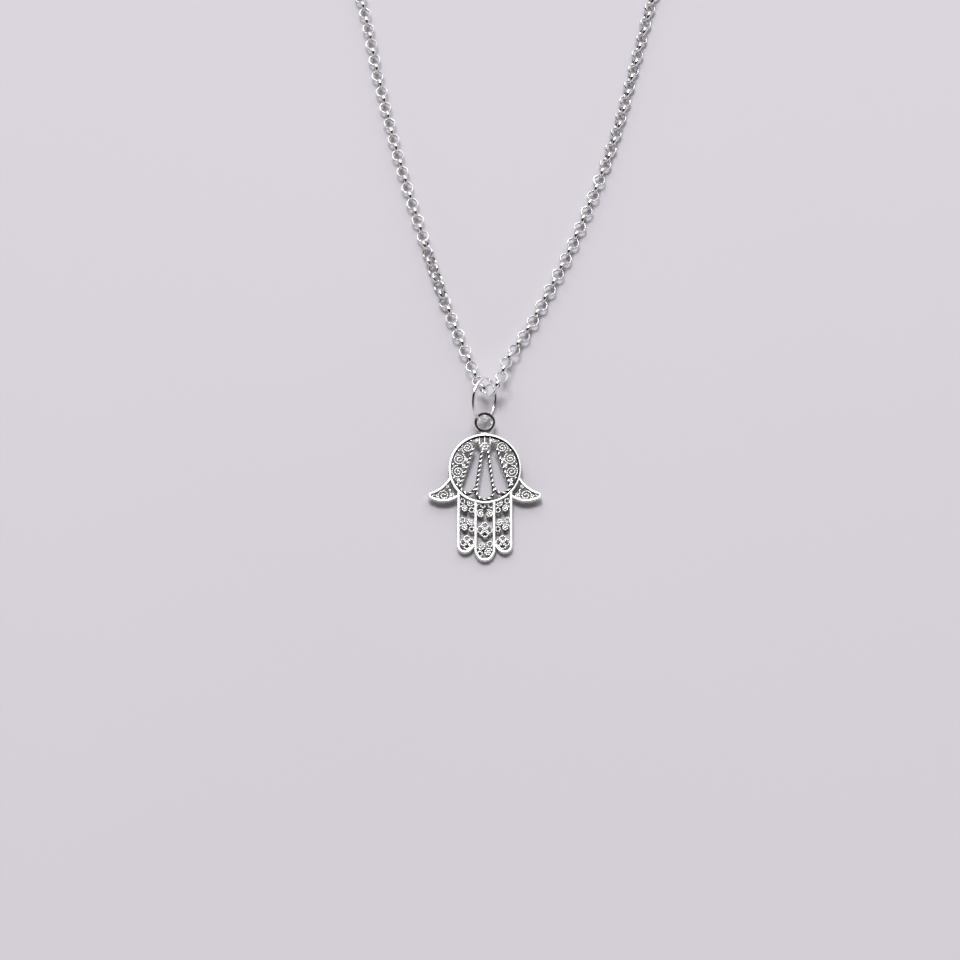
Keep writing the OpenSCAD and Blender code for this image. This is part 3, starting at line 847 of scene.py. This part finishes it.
heap = [((i - (count - 1) / 2) * GRAIN_STEP, GRAIN_TOP - row * ROW_STEP, GRAIN_Z)
        for row, count in enumerate(GRAIN_ROWS) for i in range(count)]
coil_ends = [path[-1] for path in scroll_lines if path[0] != path[-1]]
flower_hearts = [(x, motif_y(way, step, reach, w), MID)
                 for motifs, reach, w, x in ((side_motifs, SIDE_REACH, side_w, -side_at),
                                             (side_motifs, SIDE_REACH, side_w, side_at),
                                             (middle_motifs, MIDDLE_REACH, middle_w, 0))
                 for way, step, motif in motifs if motif is flower]
corner_beads = [(BEAD_OUT * cos(radians(a)), BEAD_OUT * sin(radians(a)), MID)
                for a in BEAD_BEARINGS] + [THUMB_BEAD]
other_corners = [(-x, y, z) for x, y, z in corner_beads]
print("grains:", len(heap), "scroll beads:", len(coil_ends), "flower hearts:", len(flower_hearts))


# %% Set the grains and sweep the struts
def dots(points, diameter, spread):
    """Grains on the points, which differ in size by the spread."""
    return grown(drawn([[p] for p in points]), beads, LAID, Diameter=diameter, Spread=spread,
                 Seed=7, Top=MID + diameter / 4, Material=SOLDER)


STRUT_AT = 1.5 * GRAIN_STEP
# The struts darken below their given top in the same way: partly oxide, partly painted shade.
STRUT_TOP = WALL_H * 0.73

grains = [dots(heap, GRAIN_D, 0.04), dots(coil_ends, 1.9 * WIRE_W, 0.06),
          dots(flower_hearts + corner_beads + other_corners, 2.2 * WIRE_W, 0.05)]
strut_lines = [[(x, GRAIN_TOP, MID), (x, RING_LINE, MID)] for x in (-STRUT_AT, 0, STRUT_AT)]
struts = [grown(drawn(strut_lines), sweep, LAID, Width=WIRE_W, Height=WIRE_H, Rounding=0.12,
                Rounds=2, Step=0.1, Ripple=0.0, Pitch=1.0, Top=STRUT_TOP, Fall=0.12,
                Material=ROLLED)]

# %% [markdown]
# ## Eye and jump ring
#
# Both are round wire bent into a ring, and both keep the fine seam where the ends meet. A ring
# drawn as a line that stops a hair short of closing gives that seam, and the sweep closes its ends.
# A dark band is painted round the eye's crest. It is a painted reflection, the dark that the round
# wire shows from the room, so the darkness of each point there comes from its distance to the eye's
# middle.

# %% Helper for round wire
def round_wire(line, place, thick, top, material, ripple=0.0, pitch=1.0, **values):
    """Round wire along a line: a square section whose corners are rounded right off."""
    return grown(drawn([line]), sweep, place, Width=thick, Height=thick, Rounding=thick / 2,
                 Top=top, Fall=thick, Ripple=ripple, Pitch=pitch, Material=material, **values)


# %% Eye
EYE_D = 3.56
EYE_WIRE = 0.68
EYE_GAP = 0.2
EYE_Y = PALM_R + EYE_GAP + EYE_D / 2
EYE_R = (EYE_D - EYE_WIRE) / 2
SEAM_AT = 205
SEAM = 0.8
BAND_HALF = 0.23
BAND_OUT = 0.06
BAND_FADE = 0.08

eye_line = arc((0, EYE_Y), EYE_R, SEAM_AT + SEAM, 360 - 2 * SEAM, MID, step=0.1)
eye = [round_wire(eye_line, LAID, EYE_WIRE, WALL_H, PAINTED_BAND_RING, ripple=0.012, pitch=1.3, Rounds=5,
                  Step=0.1)]
# Painted reflection: a dark band round the eye's crest.
heart = LAID @ Vector((0, EYE_Y, MID))
crest = [min(max(BAND_HALF - abs((v.co - heart).length / MM - EYE_R - BAND_OUT), 0) / BAND_FADE, 1)
         for v in eye[0].vertices]
eye[0].attributes["oxide_and_painted_shade"].data.foreach_set("value", crest)

# %% Solder
def mound(rows):
    """A closed skin over rings of points, each ring one section across the solder."""
    mesh = bpy.data.meshes.new("solder")
    sides = len(rows[0])
    faces = [(i * sides + k, i * sides + (k + 1) % sides, (i + 1) * sides + (k + 1) % sides,
              (i + 1) * sides + k) for i in range(len(rows) - 1) for k in range(sides)]
    faces += [tuple(reversed(range(sides))),
              tuple((len(rows) - 1) * sides + k for k in range(sides))]
    mesh.from_pydata([p for row in rows for p in row], [], faces)
    mesh.materials.append(SOLDER)
    mesh.shade_smooth()
    mesh.attributes.new("oxide_and_painted_shade", "FLOAT", "POINT").data.foreach_set(
        "value", [NECK_SHADE] * len(mesh.vertices))
    mesh.transform(LAID)
    return mesh


NECK_FOOT = 2.4
NECK_HEAD = 1.5
NECK_H = 0.6 * WALL_H
NECK_LOW = PALM_R - WALL_W / 2
NECK_HIGH = PALM_R + EYE_GAP + EYE_WIRE / 2
NECK_ROWS = 9
NECK_SIDES = 24
NECK_SHADE = 0.6
NECK_WAIST = 0.16
NECK_DIP = 0.3
NECK_SQUARE = 0.6


def squared(share):
    """Swells a circle's sine or cosine, so that the section is nearly square with round corners."""
    return math.copysign(abs(share) ** NECK_SQUARE, share)


neck_rows = []
for i in range(NECK_ROWS):
    way = i / (NECK_ROWS - 1)
    wide = (NECK_FOOT + (NECK_HEAD - NECK_FOOT) * way) / 2 - NECK_WAIST * sin(pi * way)
    high = NECK_H / 2 * (1 - NECK_DIP * sin(pi * way))
    y = NECK_LOW + (NECK_HIGH - NECK_LOW) * way
    angles = [2 * pi * k / NECK_SIDES for k in range(NECK_SIDES)]
    neck_rows.append([(wide * squared(cos(a)), y, MID + high * squared(sin(a))) for a in angles])
solder = [mound(neck_rows)]
print("solder faces:", len(solder[0].polygons))

# %% [markdown]
# ## From meshes to pieces
#
# Soldered silver is one piece, so the meshes of the hand are joined into one object, and each face
# keeps its finish. The piece is tied to the imported model: it rides on the same body, takes the
# place of the plain part, and has a name of its own.

# %% Join the whole pendant
def piece(name, meshes, replaced):
    """Joins meshes into one piece, faces outwards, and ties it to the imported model."""
    made = bpy.data.objects.new(name, bpy.data.meshes.new(name))
    bpy.context.scene.collection.objects.link(made)
    whole, finishes = bmesh.new(), []
    for mesh in meshes:
        first = len(whole.faces)
        whole.from_mesh(mesh)
        whole.faces.ensure_lookup_table()
        for face in whole.faces[first:]:
            finish = mesh.materials[face.material_index]
            if finish not in finishes:
                finishes.append(finish)
            face.material_index = finishes.index(finish)
    bmesh.ops.recalc_face_normals(whole, faces=whole.faces)
    whole.to_mesh(made.data)
    whole.free()
    for finish in finishes:
        made.data.materials.append(finish)
    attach(made, "root")
    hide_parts(replaced)
    made.data.calc_loop_triangles()
    print(name, "triangles:", len(made.data.loop_triangles))


piece("filigree_hand", strips + ropes + scrolls + grains + struts + eye + solder,
      "hamsa_pendant")

# %% Jump ring
RING_D = 7.2
RING_WIRE = 0.5
RING_TILT = radians(62)
RING_BEARING = radians(162)
RING_SEAM_AT = 300.25

ring_r = (RING_D - RING_WIRE) / 2
ring_low, ring_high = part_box("jump_ring")
ring_at = (ring_low + ring_high) / 2
RING_PLACE = (Matrix.Translation(ring_at) @ Matrix.Rotation(RING_BEARING, 4, "Z")
              @ Matrix.Rotation(-RING_TILT, 4, "Y") @ Matrix.Scale(MM, 4))
ring_line = arc((0, 0), ring_r, RING_SEAM_AT, 359.5)
# The wire turns greyer on its lower side: painted shade.
jump_ring = round_wire(ring_line, RING_PLACE, RING_WIRE, 0.0, ROUND, ripple=0.006, pitch=2.1,
                       Rounds=4, Step=0.12)
piece("jump_ring_wire", [jump_ring], "jump_ring")

# %% [markdown]
# ## Chain
#
# A fine chain of round links, each one a closed ring of flat wire that stands across its
# neighbours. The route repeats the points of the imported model, in millimetres from the palm's
# centre, with the lift off the table as the third figure. The tree puts a link at every pitch,
# turns every second one by a quarter turn, and adds the slow twist that a loose chain has on a
# table.

# %% Route of the chain
CHAIN_D = 2.1
CHAIN_R = CHAIN_D / 2
route = [
    (0, 205, 0), (-10, 203, 0), (-20, 198.5, 0), (-30, 190.5, 0), (-38, 180, 0), (-43, 168, 0),
    (-45, 154, 0), (-41, 137, 0), (-34, 120, 0), (-26.8, 103.5, 0), (-21.4, 87, 0), (-18.3, 72, 0),
    (-14.5, 56, 0), (-10.3, 41.5, 0), (-6.5, 29.5, 0), (-3.9, 22.4, 0.1), (-2.4, 18.6, 0.4),
    (-1.4, 15.5, 1), (-0.5, 13.6, 1.6), (0.65, 12.9, 2.2), (1.85, 13.3, 2.7), (2.7, 15.1, 2.6),
    (3.4, 17.9, 1.6), (4.9, 20.8, 0.5), (6.7, 23.8, 0), (9.4, 28.9, 0), (14.2, 39, 0),
    (18.8, 50.5, 0), (22.6, 62, 0), (26, 75, 0), (29.4, 88, 0), (34.8, 104, 0), (42, 120.5, 0),
    (49, 137.5, 0), (53, 154, 0), (51, 168, 0), (46, 180, 0), (38, 190.5, 0), (28, 198.5, 0),
    (18, 203, 0), (8.6, 205, 0)]
ROUTE_STEPS = 8


def between(a, b, c, d, t):
    """A point of the smooth curve from b to c, which a and d shape."""
    return (2 * b + (c - a) * t + (2 * a - 5 * b + 4 * c - d) * t * t
            + (3 * b - a - 3 * c + d) * t * t * t) / 2


knots = [Vector(p) for p in route]
last = len(knots) - 1
smooth = [between(knots[max(i - 1, 0)], knots[i], knots[i + 1], knots[min(i + 2, last)],
                  k / ROUTE_STEPS) for i in range(last) for k in range(ROUTE_STEPS)] + [knots[last]]
smooth = [Vector((p.x, p.y, CHAIN_R + max(p.z, 0))) for p in smooth]
length = sum((b - a).length for a, b in zip(smooth, smooth[1:]))
print("chain length mm:", round(length, 1))

# %% [markdown]
# A strand that lies loose rolls over in places. A short table lists where each strand does so: from
# which height to which, and by how many degrees. Where the turn is 0, the links lie flat and stand
# by turns. Elsewhere they lean, and show their edges. The strands part near the pendant's middle.

# %% Slow twist along the chain
LEFT_ROLLS = ((28, 32, 45), (38, 42, -45), (90, 130, 45))
RIGHT_ROLLS = ((52, 58, 20), (120, 150, -20))
STRANDS_PART = 1


def eased(value, low, high):
    """0 below a stretch and 1 above it, with a smooth change between."""
    t = min(max((value - low) / (high - low), 0), 1)
    return t * t * (3 - 2 * t)


def lie_of(p):
    """Turn of the links about the chain at a point, in degrees."""
    rolls = LEFT_ROLLS if p.x < STRANDS_PART else RIGHT_ROLLS
    return sum(turn * eased(p.y, low, high) for low, high, turn in rolls)


twists = [lie_of(p) for p in smooth]
print("turns of the links:", round(min(twists)), "to", round(max(twists)), "degrees")

# %% Tree: links along a line
row, given = new_tree(
    "round links", ("Outside", "Float"), ("Thickness", "Float"), ("Width", "Float"),
    ("Count", "Int"), ("Jitter", "Float"), ("Seed", "Int"), ("Top", "Float"))
line = node(row, "GeometryNodeMeshToCurve", {0: given["Geometry"]})
level = node(row, "GeometryNodeSetCurveNormal", {0: line.outputs[0]}, mode="Z_UP")
spots = node(row, "GeometryNodeCurveToPoints", {0: level.outputs[0], "Count": given["Count"]},
             mode="COUNT")
half_wire = sums(row, "DIVIDE", given["Thickness"], 2.0)
ring_radius = sums(row, "SUBTRACT", sums(row, "DIVIDE", given["Outside"], 2.0), half_wire)
ring = node(row, "GeometryNodeCurvePrimitiveCircle", {"Resolution": 16, "Radius": ring_radius})
hexagon = node(row, "GeometryNodeCurvePrimitiveCircle", {"Resolution": 6, "Radius": 1.0})
oval = node(row, "ShaderNodeCombineXYZ", {
    "X": half_wire, "Y": sums(row, "DIVIDE", given["Width"], 2 * cos(radians(30))), "Z": 1.0})
section = node(row, "GeometryNodeTransform", {0: hexagon.outputs[0], "Scale": oval.outputs[0]})
flat_link = node(row, "GeometryNodeCurveToMesh", {
    "Curve": ring.outputs[0], "Profile Curve": section.outputs[0]})
link = node(row, "GeometryNodeTransform", {0: flat_link.outputs[0], "Rotation": (pi / 2, 0, 0)})
order = node(row, "GeometryNodeInputIndex").outputs[0]
quarter = sums(row, "MULTIPLY", sums(row, "MODULO", order, 2.0), pi / 2)
slow = sums(row, "RADIANS", node(row, "GeometryNodeInputNamedAttribute",
                                 {"Name": "twist"}).outputs[0])
loose = node(row, "FunctionNodeRandomValue", {
    2: sums(row, "MULTIPLY", given["Jitter"], -1.0), 3: given["Jitter"],
    "Seed": given["Seed"]}, data_type="FLOAT")
roll = sums(row, "ADD", sums(row, "ADD", quarter, slow), loose.outputs[1])
spin = node(row, "FunctionNodeEulerToRotation", {
    0: node(row, "ShaderNodeCombineXYZ", {"Z": roll}).outputs[0]})
facing = node(row, "FunctionNodeRotateRotation", {
    "Rotation": spots.outputs["Rotation"], "Rotate By": spin.outputs[0]}, rotation_space="LOCAL")
linked = node(row, "GeometryNodeInstanceOnPoints", {
    "Points": spots.outputs[0], "Instance": link.outputs[0], "Rotation": facing.outputs[0]})
# Each link turns greyer lower down, towards the table: painted shade.
ending(row, linked.outputs[0], falling(row, given["Top"], given["Outside"]), given["Material"])

# %% Make the links
LINK_THICKNESS = 0.25
LINK_WIDTH = 0.62
PLAY = 0.02
PITCH = CHAIN_D - 2 * LINK_THICKNESS - PLAY
link_count = round(length / PITCH) + 1

links = grown(drawn([smooth], twist=twists), row, FROM_PALM, Outside=CHAIN_D,
              Thickness=LINK_THICKNESS, Width=LINK_WIDTH, Count=link_count, Jitter=radians(5),
              Seed=3, Top=CHAIN_D, Material=LINKS)
piece("chain_links", [links], "chain")
print("links:", link_count, "pitch mm:", round(length / (link_count - 1), 3))

# %% [markdown]
# ## Clasp
#
# The photograph doesn't show the clasp, so it is one plain piece: a closed ring with a small tag.
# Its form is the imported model's, and it has the finish of the jump ring.

# %% Clasp
CLASP_D = 6.0
CLASP_WIRE = 1.2
TAG_D = 2.8
TAG_WIRE = 0.6
END_GAP = 0.15
clasp_x = route[-1][0] - END_GAP - CLASP_D / 2
tag_x = route[0][0] + END_GAP + TAG_D / 2


def closed_ring(x, outside, thick, **values):
    """A level ring of round wire at the back of the loop, as high as the chain's middle."""
    line = arc((x, route[0][1]), (outside - thick) / 2, 0, 360, CHAIN_R)
    # The wire turns greyer towards its bottom: painted shade.
    return round_wire(line, FROM_PALM, thick, CHAIN_R + thick / 2, ROUND, **values)


piece("clasp_ring", [closed_ring(clasp_x, CLASP_D, CLASP_WIRE, Rounds=6, Step=0.2),
                     closed_ring(tag_x, TAG_D, TAG_WIRE, Rounds=4, Step=0.12)],
      "clasp")

# %% [markdown]
# ## The size
#
# The dressed model is meant to keep the imported model's size, so its size is printed in millimetres.

# %% Print the size
low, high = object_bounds()
print("size mm:", [round((b - a) / MM, 2) for a, b in zip(low, high)])
